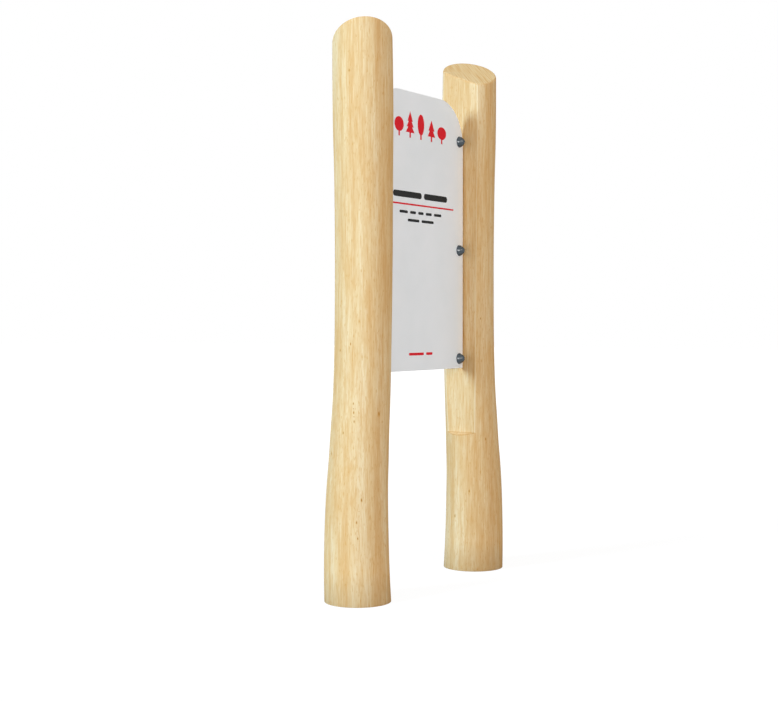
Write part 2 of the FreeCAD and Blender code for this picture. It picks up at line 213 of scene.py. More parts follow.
def postSectionTree():
    # The outline of the post at one height: its heart, the way out from it and how far the wood goes.
    # Around runs from -1 to 1, with 0 at the middle of the flat.
    tree = newTree(
        "postSection",
        {"Around": 0.0, "Height": 0.0, **sectionSizes},
        {"Heart": Vector(), "Way out": Vector(), "Reach": 0.0, "Edge": 0.0, "Saw end": 0.0},
    )
    given = addNode(tree, "NodeGroupInput").outputs
    form = post["form"]
    length = form[-1][0]
    driftSpan, widest = 20.0, 100.0  # millimetres that the two curves' ends stand for
    share = addNode(tree, "ShaderNodeMath", (given["Height"], length * post["height"]), operation="DIVIDE")
    drift = addNode(tree, "ShaderNodeFloatCurve", {"Value": share})
    bendCurve(drift, [(s / length, (d + driftSpan) / driftSpan / 2) for s, d, r in form])
    drift = addNode(tree, "ShaderNodeMapRange", (drift, 0, 1, -driftSpan * mm, driftSpan * mm))
    heart = addNode(tree, "ShaderNodeCombineXYZ", (drift,))
    heart = addNode(
        tree, "ShaderNodeVectorRotate", {"Vector": heart, "Angle": post["driftAngle"]},
        rotation_type="Z_AXIS",
    )
    radius = addNode(tree, "ShaderNodeFloatCurve", {"Value": share})
    bendCurve(radius, [(s / length, r / widest) for s, d, r in form])
    radius = addNode(tree, "ShaderNodeMath", (radius, widest * mm), operation="MULTIPLY")
    # How far the sawn face lies from the heart: level down to the ramp, which then runs out of the wood
    fall = addNode(tree, "ShaderNodeMath", (given["Flat bottom"], given["Height"]), operation="SUBTRACT")
    steepness = addNode(tree, "ShaderNodeMath", (given["Ramp slope"],), operation="TANGENT")
    runOut = addNode(tree, "ShaderNodeMath", (fall, steepness), operation="DIVIDE")
    runOut = addNode(tree, "ShaderNodeMath", (runOut, 0.0), operation="MAXIMUM")
    toFlat = addNode(tree, "ShaderNodeMath", (runOut, given["Foot to flat"]), operation="ADD")
    heartX = addNode(tree, "ShaderNodeSeparateXYZ", (heart,))
    toFlat = addNode(tree, "ShaderNodeMath", (toFlat, heartX), operation="ADD")
    corner = addNode(tree, "ShaderNodeMath", (toFlat, radius), operation="DIVIDE")
    corner = addNode(tree, "ShaderNodeMath", (corner, post["leastFlat"]), operation="MINIMUM")
    corner = addNode(tree, "ShaderNodeMath", (corner,), operation="ARCCOSINE")
    # The columns crowd at the flat's edges
    flatShare = post["flatShare"]
    outward = addNode(tree, "ShaderNodeMath", (given["Around"],), operation="ABSOLUTE")
    spread = addNode(tree, "ShaderNodeFloatCurve", {"Value": outward})
    bendCurve(spread, post["crowding"], "VECTOR")
    onFlat = addNode(tree, "ShaderNodeMapRange", (spread, 0, flatShare, 0, corner), clamp=False)
    onRound = addNode(tree, "ShaderNodeMapRange", (spread, flatShare, 1, corner, math.pi), clamp=False)
    angle = addNode(tree, "ShaderNodeMath", (onFlat, onRound), operation="MAXIMUM")
    side = addNode(tree, "ShaderNodeMath", (given["Around"],), operation="SIGN")
    angle = addNode(tree, "ShaderNodeMath", (angle, side), operation="MULTIPLY")
    wayOut = addNode(
        tree, "ShaderNodeVectorRotate", {"Vector": (-1, 0, 0), "Angle": angle}, rotation_type="Z_AXIS"
    )
    # Shallow hollows left by the peeling knife, always inwards
    stretch = post["hollowStretch"]
    level = addNode(tree, "ShaderNodeMath", (given["Height"], stretch), operation="MULTIPLY")
    level = addNode(tree, "ShaderNodeCombineXYZ", (0, 0, level))
    ring = [post["hollowRing"]] * 3
    place = addNode(tree, "ShaderNodeVectorMath", (wayOut, ring, level), operation="MULTIPLY_ADD")
    hollow = addNode(
        tree, "ShaderNodeTexNoise",
        {"Vector": place, "W": given["Seed"], "Scale": post["hollowScale"], "Detail": 1},
        noise_dimensions="4D",
    )
    hollow = addNode(tree, "ShaderNodeMath", (hollow, given["Hollow depth"]), operation="MULTIPLY")
    radius = addNode(tree, "ShaderNodeMath", (radius, hollow), operation="SUBTRACT")
    leastCosine = 0.2
    cosine = addNode(tree, "ShaderNodeMath", (angle,), operation="COSINE")
    cosine = addNode(tree, "ShaderNodeMath", (cosine, leastCosine), operation="MAXIMUM")
    flatReach = addNode(tree, "ShaderNodeMath", (toFlat, cosine), operation="DIVIDE")
    reach = addNode(
        tree, "ShaderNodeMath", (radius, flatReach, given["Edge ease"]), operation="SMOOTH_MIN"
    )
    # Marks for the material: a painted highlight along the flat's edges above the ramp, and a dark mark
    # along the ramp's edge with the crease at its top
    depth = addNode(tree, "ShaderNodeMath", (radius, flatReach), operation="SUBTRACT")
    edge = addNode(tree, "ShaderNodeMath", (depth,), operation="ABSOLUTE")
    edge = addNode(tree, "ShaderNodeMapRange", (edge, 0, post["edgeHighlightAndMark"], 1, 0))
    onRamp = addNode(tree, "ShaderNodeMath", (fall, 0.0), operation="GREATER_THAN")
    crease = addNode(tree, "ShaderNodeMath", (fall,), operation="ABSOLUTE")
    crease = addNode(tree, "ShaderNodeMapRange", (crease, 0, post["creaseMark"], 1, 0))
    sawn = addNode(tree, "ShaderNodeMath", (depth, 0.0), operation="GREATER_THAN")
    crease = addNode(tree, "ShaderNodeMath", (crease, sawn), operation="MULTIPLY")
    tear = addNode(tree, "ShaderNodeMath", (onRamp, edge, crease), operation="MULTIPLY_ADD")
    edge = addNode(tree, "ShaderNodeMath", (edge, onRamp), operation="SUBTRACT")
    addNode(tree, "NodeGroupOutput", (heart, wayOut, reach, edge, tear))
    return tree


def postTree(sectionTree, material):
    # One grid wrapped round the post: foot, side, rim and slanting top, row after row.
    # The input geometry is the knots' places, round which the grain bends.
    uphill = Vector((math.cos(post["uphillAngle"]), math.sin(post["uphillAngle"]), 0))
    drift = post["form"][-1][1] * mm
    highest = Vector((drift * math.cos(post["driftAngle"]), drift * math.sin(post["driftAngle"]), 0))
    highest += uphill * post["form"][-1][2] * mm
    rise = uphill * math.tan(post["topSlope"])
    topLevel = post["height"] - highest.dot(rise)
    sizes = {"Top rise": rise, "Top level": topLevel, "Rim ease": post["rimEase"]}
    tree = newTree("post", {"Knots": None, **sectionSizes, **sizes, "Turn": 0.0, "Centre": Vector()})
    given = addNode(tree, "NodeGroupInput").outputs
    rows = post["rows"]
    footEnd = len(post["foot"])
    lowEnd = footEnd + rows["low"]
    rampEnd = lowEnd + rows["ramp"]
    sideEnd = rampEnd + rows["high"]
    rimEnd = sideEnd + rows["rim"]
    lastRow = rimEnd + rows["top"]
    grid = addNode(tree, "GeometryNodeMeshGrid", (1, 1, post["columns"] + 1, lastRow + 1))
    across = addNode(tree, "ShaderNodeSeparateXYZ", (grid.outputs["UV Map"],))
    around = addNode(tree, "ShaderNodeMapRange", (across, 0, 1, -1, 1))
    row = addNode(tree, "ShaderNodeMath", (across.outputs["Y"], lastRow), operation="MULTIPLY")
    row = addNode(tree, "ShaderNodeMath", (row,), operation="ROUND")

    def section(height):
        # The outline at a height, and its point in the plan
        links = {label: given[label] for label in sectionSizes}
        outline = addNode(
            tree, "GeometryNodeGroup", {"Around": around, "Height": height, **links},
            node_tree=sectionTree,
        )
        heart, wayOut, reach = outline.outputs[:3]
        point = addNode(tree, "ShaderNodeVectorMath", (wayOut, reach, heart), operation="MULTIPLY_ADD")
        return outline.outputs, point

    def cutLevel(point):
        # Height of the slanting saw cut above a point
        level = addNode(tree, "ShaderNodeVectorMath", (point, given["Top rise"]), operation="DOT_PRODUCT")
        level = level.outputs["Value"]
        return addNode(tree, "ShaderNodeMath", (level, given["Top level"]), operation="ADD")

    # The side ends just below the cut, whose height at the outline is found in two steps
    firstGuess = 0.97 * post["height"]
    firstLevel = cutLevel(section(firstGuess)[1])
    secondLevel = cutLevel(section(firstLevel)[1])
    sideTop = addNode(tree, "ShaderNodeMath", (secondLevel, given["Rim ease"]), operation="SUBTRACT")
    rampLow, rampHigh = (
        addNode(tree, "ShaderNodeMath", (given["Flat bottom"], step), operation="ADD")
        for step in post["rampZone"]
    )
    lowPart = addNode(tree, "ShaderNodeMapRange", (row, footEnd, lowEnd, post["footTop"], rampLow))
    rampPart = addNode(tree, "ShaderNodeMapRange", (row, lowEnd, rampEnd, rampLow, rampHigh))
    highPart = addNode(tree, "ShaderNodeMapRange", (row, rampEnd, sideEnd, rampHigh, sideTop))
    onRamp = addNode(tree, "ShaderNodeMath", (row, lowEnd), operation="GREATER_THAN")
    onHigh = addNode(tree, "ShaderNodeMath", (row, rampEnd), operation="GREATER_THAN")
    height = addNode(tree, "GeometryNodeSwitch", (onRamp, lowPart, rampPart), input_type="FLOAT")
    height = addNode(tree, "GeometryNodeSwitch", (onHigh, height, highPart), input_type="FLOAT")
    heart, wayOut, reach, paintedEdgeHighlight, sawEnd = section(height)[0]
    # Rim and top: the ring moves in by inset while it climbs the last drop to the saw cut
    bend = addNode(tree, "ShaderNodeMapRange", (row, sideEnd, rimEnd, 0, math.pi / 2))
    inward = addNode(tree, "ShaderNodeMapRange", (row, rimEnd, lastRow, 1, 0))
    inset = addNode(tree, "ShaderNodeMath", (bend,), operation="COSINE")
    inset = addNode(tree, "ShaderNodeMath", (1, inset), operation="SUBTRACT")
    inset = addNode(tree, "ShaderNodeMath", (inset, given["Rim ease"]), operation="MULTIPLY")
    drop = addNode(tree, "ShaderNodeMath", (bend,), operation="SINE")
    drop = addNode(tree, "ShaderNodeMath", (1, drop), operation="SUBTRACT")
    drop = addNode(tree, "ShaderNodeMath", (drop, given["Rim ease"]), operation="MULTIPLY")
    span = addNode(tree, "ShaderNodeMath", (reach, inset), operation="SUBTRACT")
    span = addNode(tree, "ShaderNodeMath", (span, inward), operation="MULTIPLY")
    upper = addNode(tree, "ShaderNodeVectorMath", (wayOut, span, heart), operation="MULTIPLY_ADD")
    upperLevel = addNode(tree, "ShaderNodeMath", (cutLevel(upper), drop), operation="SUBTRACT")
    onTop = addNode(tree, "ShaderNodeMath", (row, sideEnd), operation="GREATER_THAN")
    height = addNode(tree, "GeometryNodeSwitch", (onTop, height, upperLevel), input_type="FLOAT")
    # Foot: the profile from the socket's pocket to the outside
    foot = addNode(tree, "GeometryNodeIndexSwitch", data_type="VECTOR")
    for i, ring in enumerate(post["foot"]):
        if i > 1:  # the node comes with two items
            foot.index_switch_items.new()
        foot.inputs[i + 1].default_value = ring
    tree.links.new(row.outputs[0], foot.inputs["Index"])
    foot = addNode(tree, "ShaderNodeSeparateXYZ", (foot,)).outputs
    footSpan = addNode(tree, "ShaderNodeMath", (foot["X"], reach, foot["Y"]), operation="MULTIPLY_ADD")
    onFoot = addNode(tree, "ShaderNodeMath", (row, footEnd), operation="LESS_THAN")
    span = addNode(tree, "GeometryNodeSwitch", (onFoot, span, footSpan), input_type="FLOAT")
    height = addNode(tree, "GeometryNodeSwitch", (onFoot, height, foot["Z"]), input_type="FLOAT")
    lift = addNode(tree, "ShaderNodeCombineXYZ", (0, 0, height))
    fromHeart = addNode(tree, "ShaderNodeVectorMath", (wayOut, span, lift), operation="MULTIPLY_ADD")
    place = addNode(tree, "ShaderNodeVectorMath", (fromHeart, heart), operation="ADD")
    place = addNode(
        tree, "ShaderNodeVectorRotate", {"Vector": place, "Angle": given["Turn"]}, rotation_type="Z_AXIS"
    )
    place = addNode(tree, "ShaderNodeVectorMath", (place, given["Centre"]), operation="ADD")
    wrapped = addNode(tree, "GeometryNodeSetPosition", {"Geometry": grid, "Position": place})
    # Where the saw has cut across the grain, and the rim of that cut
    endGrain = addNode(tree, "ShaderNodeMapRange", (bend, *post["endGrainBend"], 0, 1))
    endGrain = addNode(tree, "ShaderNodeMath", (endGrain, onFoot), operation="MAXIMUM")
    rim = addNode(tree, "ShaderNodeMath", (bend, 2), operation="MULTIPLY")
    rim = addNode(tree, "ShaderNodeMath", (rim,), operation="SINE")
    # The nearest knot, whose branch runs straight out from the heart
    here = addNode(tree, "GeometryNodeInputPosition")
    nearest = addNode(tree, "GeometryNodeSampleNearest", (given["Knots"], here))
    knot = {}
    for name, kind in (("outward", "FLOAT_VECTOR"), ("size", "FLOAT")):
        value = addNode(tree, "GeometryNodeInputNamedAttribute", {"Name": name}, data_type=kind)
        knot[name] = addNode(
            tree, "GeometryNodeSampleIndex", {0: given["Knots"], "Value": value, "Index": nearest},
            data_type=kind,
        )
    knotPlace = addNode(
        tree, "GeometryNodeSampleIndex", {0: given["Knots"], "Value": here, "Index": nearest},
        data_type="FLOAT_VECTOR",
    )
    offset = addNode(tree, "ShaderNodeVectorMath", (here, knotPlace), operation="SUBTRACT")
    along = addNode(tree, "ShaderNodeVectorMath", (offset, knot["outward"]), operation="PROJECT")
    aside = addNode(tree, "ShaderNodeVectorMath", (offset, along), operation="SUBTRACT")
    depth = addNode(tree, "ShaderNodeVectorMath", (offset, knot["outward"]), operation="DOT_PRODUCT")
    depth = addNode(tree, "ShaderNodeMath", (depth.outputs["Value"], knotPlan["depth"]), operation="ADD")
    depth = addNode(tree, "ShaderNodeMath", (depth, 0.0), operation="MINIMUM")
    knotSpace = addNode(
        tree, "ShaderNodeVectorMath", (knot["outward"], depth, aside), operation="MULTIPLY_ADD"
    )
    knotSpace = addNode(tree, "ShaderNodeVectorMath", (knotSpace, knot["size"]), operation="DIVIDE")
    # The grain parts round the knot like water round a pole, in a long eye
    eye = addNode(tree, "ShaderNodeVectorMath", (knotSpace, knotPlan["eye"]), operation="MULTIPLY")
    eye = addNode(tree, "ShaderNodeVectorMath", (eye, eye), operation="DOT_PRODUCT")
    parting = addNode(tree, "ShaderNodeMath", (1, eye.outputs["Value"]), operation="DIVIDE")
    parting = addNode(tree, "ShaderNodeMath", (parting, 1.0), operation="MINIMUM")
    parting = addNode(tree, "ShaderNodeMath", (parting, -knotPlan["parting"]), operation="MULTIPLY")
    level = addNode(tree, "ShaderNodeVectorMath", (aside, (1, 1, 0)), operation="MULTIPLY")
    grainSpace = addNode(tree, "ShaderNodeVectorMath", (level, parting, here), operation="MULTIPLY_ADD")
    kept = {
        "grainSpace": (grainSpace, "FLOAT_VECTOR"),
        "knotSpace": (knotSpace, "FLOAT_VECTOR"),
        "ringSpace": (fromHeart, "FLOAT_VECTOR"),
        "paintedEdgeHighlight": (paintedEdgeHighlight, "FLOAT"),
        "sawEnd": (sawEnd, "FLOAT"),
        "endGrain": (endGrain, "FLOAT"),
        "rim": (rim, "FLOAT"),
    }
    for name, (value, kind) in kept.items():
        wrapped = addNode(
            tree, "GeometryNodeStoreNamedAttribute", {"Geometry": wrapped, "Name": name, "Value": value},
            data_type=kind,
        )
    closed = addNode(tree, "GeometryNodeMergeByDistance", {"Geometry": wrapped, "Distance": post["weld"]})
    smooth = addNode(tree, "GeometryNodeSetShadeSmooth", (closed,))
    real = addNode(tree, "GeometryNodeRealizeInstances", (smooth,))
    painted = addNode(tree, "GeometryNodeSetMaterial", {0: real, "Material": material})
    addNode(tree, "NodeGroupOutput", (painted,))
    return tree, sizes


def knotPoints(side, turn):
    # The knots as points on the bark line, each with its branch's direction and radius
    mesh = bpy.data.meshes.new(side + "Knots")
    places, ways, radii = [], [], []
    leaning = post["driftAngle"] + turn
    drift = Vector((math.cos(leaning), math.sin(leaning), 0)) * knotPlan["drift"]
    for angle, height, radius in knots[side]:
        way = Vector((math.cos(math.radians(angle)), math.sin(math.radians(angle)), 0))
        foot = Vector((math.cos(turn) * postX, 0, height * mm))
        places.append(foot + drift + way * knotPlan["ring"])
        ways.append(way)
        radii.append(radius * mm)
    mesh.from_pydata(places, [], [])
    outward = mesh.attributes.new("outward", "FLOAT_VECTOR", "POINT")
    outward.data.foreach_set("vector", [part for way in ways for part in way])
    mesh.attributes.new("size", "FLOAT", "POINT").data.foreach_set("value", radii)
    return mesh


# Peeled softwood, knifed smooth and dried pale: cream and honey in long soft streaks, with fine golden
# fibres, a few resin ticks and small pin knots. Patterns: width and length in millimetres, detail. The
# saw lines' width and length, the rings' spacing and the size of their waver are in millimetres too.
timber = {
    "cream": "#EAC995",
    "honey": "#E2B87E",
    "rose": "#DBA86A",
    "amber": "#D99F58",
    "pale": "#F3DCB1",
    "tick": "#D09038",
    "knot": "#B7760E",
    "endGrain": "#EDCB93",
    # painted shade, mixed in at the posts' feet
    "soil": "#6A5238",
    "patterns": {
        "bands": (13, 260, 2), "tones": (34, 520, 2), "streaks": (2.9, 60, 2), "fibres": (1.4, 34, 1),
        "ticks": (2.2, 13, 0),
    },
    "patternRoughness": 0.6,
    "sawLines": (3.0, 90),
    "sawAngle": math.radians(50),
    "ringSpacing": 3.6,
    "waverSize": 33.33,
    "ringWaver": 9 * mm,
    "knotStretch": (1, 1, 0.42),
    "knotRag": (1.4, 0.7),
    "shadeRise": 90 * mm,
    "roughness": (0.68, 0.84),
    "specular": 0.03,
    "bump": 0.14,
    "bumpDepth": 0.5 * mm,
}


def peeledTimber():
    material, tree = newMaterial("peeledTimber")
    grain = addNode(tree, "ShaderNodeAttribute", attribute_name="grainSpace").outputs["Vector"]
    pattern = {}
    for name, (width, length, detail) in timber["patterns"].items():
        scale = (1 / width / mm, 1 / width / mm, 1 / length / mm)
        space = addNode(tree, "ShaderNodeMapping", {"Vector": grain, "Scale": scale})
        pattern[name] = addNode(
            tree, "ShaderNodeTexNoise",
            {"Vector": space, "Scale": 1.0, "Detail": detail, "Roughness": timber["patternRoughness"]},
        )
    # End grain: streaks that the saw drew down the slope, over faint growth rings round the heart
    cut = addNode(tree, "ShaderNodeAttribute", attribute_name="ringSpace").outputs["Vector"]
    cut = addNode(tree, "ShaderNodeVectorMath", (cut, (1, 1, 0)), operation="MULTIPLY")
    turned = addNode(
        tree, "ShaderNodeVectorRotate", {"Vector": cut, "Angle": -timber["sawAngle"]},
        rotation_type="Z_AXIS",
    )
    across, along = timber["sawLines"]
    scale = (1 / along / mm, 1 / across / mm, 1)
    turned = addNode(tree, "ShaderNodeMapping", {"Vector": turned, "Scale": scale})
    sawLines = addNode(tree, "ShaderNodeTexNoise", {"Vector": turned, "Scale": 1.0, "Detail": 3})
    scale = 1 / timber["waverSize"] / mm
    waver = addNode(tree, "ShaderNodeTexNoise", {"Vector": cut, "Scale": scale, "Detail": 2})
    distance = addNode(tree, "ShaderNodeVectorMath", (cut,), operation="LENGTH").outputs["Value"]
    distance = addNode(
        tree, "ShaderNodeMath", (waver, timber["ringWaver"], distance), operation="MULTIPLY_ADD"
    )
    turns = addNode(
        tree, "ShaderNodeMath", (distance, 2 * math.pi / timber["ringSpacing"] / mm), operation="MULTIPLY"
    )
    rings = addNode(tree, "ShaderNodeMath", (turns,), operation="SINE")
    # Knots are taller than wide, with a ragged edge
    knot = addNode(tree, "ShaderNodeAttribute", attribute_name="knotSpace").outputs["Vector"]
    ragScale, ragShare = timber["knotRag"]
    knot = addNode(tree, "ShaderNodeVectorMath", (knot, timber["knotStretch"]), operation="MULTIPLY")
    ragged = addNode(tree, "ShaderNodeTexNoise", {"Vector": knot, "Scale": ragScale, "Detail": 2})
    knot = addNode(tree, "ShaderNodeVectorMath", (knot,), operation="LENGTH").outputs["Value"]
    knot = addNode(tree, "ShaderNodeMath", (ragged, ragShare, knot), operation="MULTIPLY_ADD")
    # Layers of colour: name, pattern, the pattern's range, and the layer's share at its two ends.
    # The middle group shows on the end grain alone.
    level = addNode(tree, "ShaderNodeSeparateXYZ", (grain,)).outputs["Z"]
    endGrain = addNode(tree, "ShaderNodeAttribute", attribute_name="endGrain").outputs["Fac"]
    rim = addNode(tree, "ShaderNodeAttribute", attribute_name="rim").outputs["Fac"]
    # where the flat's edges get a painted highlight
    edge = addNode(tree, "ShaderNodeAttribute", attribute_name="paintedEdgeHighlight").outputs["Fac"]
    tear = addNode(tree, "ShaderNodeAttribute", attribute_name="sawEnd").outputs["Fac"]
    layers = (
        ("cream", pattern["bands"], 0.36, 0.62, 0, 1),
        ("rose", pattern["tones"], 0.5, 0.66, 0, 0.36),
        ("pale", pattern["tones"], 0.36, 0.48, 0.5, 0),
        ("amber", pattern["streaks"], 0.5, 0.72, 0, 0.55),
        ("pale", pattern["streaks"], 0.3, 0.46, 0.4, 0),
        ("amber", pattern["fibres"], 0.52, 0.72, 0, 0.5),
        ("tick", pattern["ticks"], 0.69, 0.79, 0, 0.5),
        # Painted shade: the wood darkens towards the floor over the lowest stretch of each post
        ("soil", level, 0, timber["shadeRise"], 0.26, 0),
        ("endGrain", endGrain, 0, 1, 0, 1),
    )
    endLayers = (
        ("pale", sawLines, 0.3, 0.5, 0.5, 0),
        ("amber", sawLines, 0.48, 0.68, 0, 0.8),
        ("amber", rings, 0.3, 1, 0, 0.14),
    )
    lastLayers = (
        # Painted highlight: the flat's edges are made paler
        ("pale", edge, 0, 0.7, 0, 0.6),
        ("knot", tear, 0, 1, 0, 0.6),
        ("amber", rim, 0, 1, 0, 0.15),
        ("tick", knot, 1.0, 1.9, 0.5, 0),
        ("knot", knot, 0.7, 1.3, 0.85, 0),
    )
    colour = linearColour(timber["honey"])
    for group in (layers, endLayers, lastLayers):
        for name, value, low, high, least, most in group:
            share = addNode(tree, "ShaderNodeMapRange", (value, low, high, least, most))
            if group is endLayers:
                share = addNode(tree, "ShaderNodeMath", (share, endGrain), operation="MULTIPLY")
            colour = addNode(
                tree, "ShaderNodeMix", {0: share, 6: colour, 7: linearColour(timber[name])},
                data_type="RGBA",
            ).outputs[2]
    height = addNode(tree, "ShaderNodeMath", (pattern["streaks"], pattern["fibres"]), operation="ADD")
    shine = {"Specular IOR Level": timber["specular"]}
    finishSurface(tree, timber, colour, pattern["streaks"], height, shine)
    return material


postMaterial = peeledTimber()
tree, topSizes = postTree(postSectionTree(), postMaterial)
for side, turn, seed in (("left", math.pi, 3.1), ("right", 0.0, 8.4)):
    centre = Vector((math.cos(turn) * postX, 0, 0))
    sizes = {**sectionSizes, **topSizes, "Turn": turn, "Centre": centre, "Seed": seed}
    piece = runTree(tree, side + "Post", sizes, points=knotPoints(side, turn))
    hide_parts(side + "_post")
    print(piece.name, len(piece.data.polygons), "faces")


# Board: pale grey laminate, faintly pebbled by the press. Clouds of tone and grit in millimetres.
board = {
    "face": "#F8F9FA", "cloud": "#F3F5F6", "cloudSize": 142.9, "cloudRange": (0.35, 0.65), "grit": 0.9,
    "roughness": (0.42, 0.52), "ior": 1.6, "bump": 0.25, "bumpDepth": 0.05 * mm,
}


def greyLaminate():
    material, tree = newMaterial("greyLaminate")
    here = addNode(tree, "ShaderNodeTexCoord").outputs["Object"]
    scale = 1 / board["cloudSize"] / mm
    cloud = addNode(tree, "ShaderNodeTexNoise", {"Vector": here, "Scale": scale, "Detail": 3})
    scale = 1 / board["grit"] / mm
    grit = addNode(tree, "ShaderNodeTexNoise", {"Vector": here, "Scale": scale, "Detail": 2})
    share = addNode(tree, "ShaderNodeMapRange", (cloud, *board["cloudRange"], 0, 1))
    colour = addNode(
        tree, "ShaderNodeMix", {0: share, 6: linearColour(board["face"]), 7: linearColour(board["cloud"])},
        data_type="RGBA",
    ).outputs[2]
    finishSurface(tree, board, colour, grit, grit, {"IOR": board["ior"]})
    return material


# Cut film: cast vinyl, satin, with the faint dimples of its glue. Dimples in millimetres.
film = {
    "red": "#E50E22", "black": "#0C0C0D", "dimple": 2.2, "roughness": (0.42, 0.52), "specular": 0.15,
    "bump": 0.15, "bumpDepth": 0.05 * mm,
}


def satinVinyl(name, tone):
    material, tree = newMaterial(name)
    here = addNode(tree, "ShaderNodeTexCoord").outputs["Object"]
    scale = 1 / film["dimple"] / mm
    dimples = addNode(tree, "ShaderNodeTexNoise", {"Vector": here, "Scale": scale, "Detail": 1})
    shine = {"Specular IOR Level": film["specular"]}
    finishSurface(tree, film, linearColour(tone), dimples, dimples, shine)
    return material


# Brackets, coach screws and foot sockets: hot-dip zinc, dull grey with its frozen crystals and faint
# stains, both in millimetres
zinc = {
    "light": "#B4B8BA", "dark": "#8F9496", "crystal": 7.0, "stain": 25, "roughness": (0.38, 0.58),
    "bump": 0.2, "bumpDepth": 0.1 * mm,
}


def dippedZinc():
    material, tree = newMaterial("dippedZinc")
    here = addNode(tree, "ShaderNodeTexCoord").outputs["Object"]
    crystals = addNode(tree, "ShaderNodeTexVoronoi", {"Vector": here, "Scale": 1 / zinc["crystal"] / mm})
    tone = addNode(tree, "ShaderNodeSeparateColor", (crystals.outputs["Color"],))
    scale = 1 / zinc["stain"] / mm
    stain = addNode(tree, "ShaderNodeTexNoise", {"Vector": here, "Scale": scale, "Detail": 4})
    tone = addNode(tree, "ShaderNodeMath", (tone, stain), operation="MULTIPLY")
    colour = addNode(
        tree, "ShaderNodeMix", {0: tone, 6: linearColour(zinc["light"]), 7: linearColour(zinc["dark"])},
        data_type="RGBA",
    ).outputs[2]
    finishSurface(tree, zinc, colour, stain, stain, {"Metallic": 1.0})
    return material


# Bolts, nuts and washers: stainless steel, bright with fine turning lines, whose width and length
# are in millimetres and coarser than real ones, so that they show close up
stainless = {
    "tone": "#C9C8C5", "line": (0.35, 10), "roughness": (0.2, 0.34), "bump": 0.1,
    "bumpDepth": 0.05 * mm,
}


def turnedStainless():
    material, tree = newMaterial("turnedStainless")
    here = addNode(tree, "ShaderNodeTexCoord").outputs["Object"]
    width, length = stainless["line"]
    scale = (1 / width / mm, 1 / length / mm, 1 / width / mm)
    space = addNode(tree, "ShaderNodeMapping", {"Vector": here, "Scale": scale})
    lines = addNode(tree, "ShaderNodeTexNoise", {"Vector": space, "Scale": 1.0, "Detail": 2})
    finishSurface(tree, stainless, linearColour(stainless["tone"]), lines, lines, {"Metallic": 1.0})
    return material


# Bolt caps: moulded nylon, slate grey, with a soft shine, worn patches and the mould's fine spark
# texture, both in millimetres. The spark grain is coarser than a real one, so that it shows close up.
# The dome falls off with this power of the way to its edge.
cap = {
    "tone": "#3C4A54", "worn": "#47545D", "wear": 11.11, "wearRange": (0.4, 0.7), "spark": 0.8,
    "roughness": (0.18, 0.28), "ior": 1.53, "bump": 0.3, "bumpDepth": 0.06 * mm, "wall": 2 * mm,
    "power": 2.35, "skirt": 0.35 * mm, "skirtEase": 0.8 * mm, "columns": 48, "steps": 16,
    "weld": 0.02 * mm,
}


def mouldedNylon():
    material, tree = newMaterial("mouldedNylon")
    here = addNode(tree, "ShaderNodeTexCoord").outputs["Object"]
    scale = 1 / cap["spark"] / mm
    spark = addNode(tree, "ShaderNodeTexNoise", {"Vector": here, "Scale": scale, "Detail": 2})
    scale = 1 / cap["wear"] / mm
    wear = addNode(tree, "ShaderNodeTexNoise", {"Vector": here, "Scale": scale, "Detail": 3})
    share = addNode(tree, "ShaderNodeMapRange", (wear, *cap["wearRange"], 0, 1))
    colour = addNode(
        tree, "ShaderNodeMix", {0: share, 6: linearColour(cap["tone"]), 7: linearColour(cap["worn"])},
        data_type="RGBA",
    ).outputs[2]
    finishSurface(tree, cap, colour, wear, spark, {"IOR": cap["ior"]})
    return material


capMaterial = mouldedNylon()
# The cap row's named inputs. Each row's places, radius and height come from its node's box.
capSizes = {
    "First": Vector(), "Last": Vector(), "Count": 3, "Radius": 16.5 * mm, "Height": 17 * mm,
    "Facing": -1.0,
}


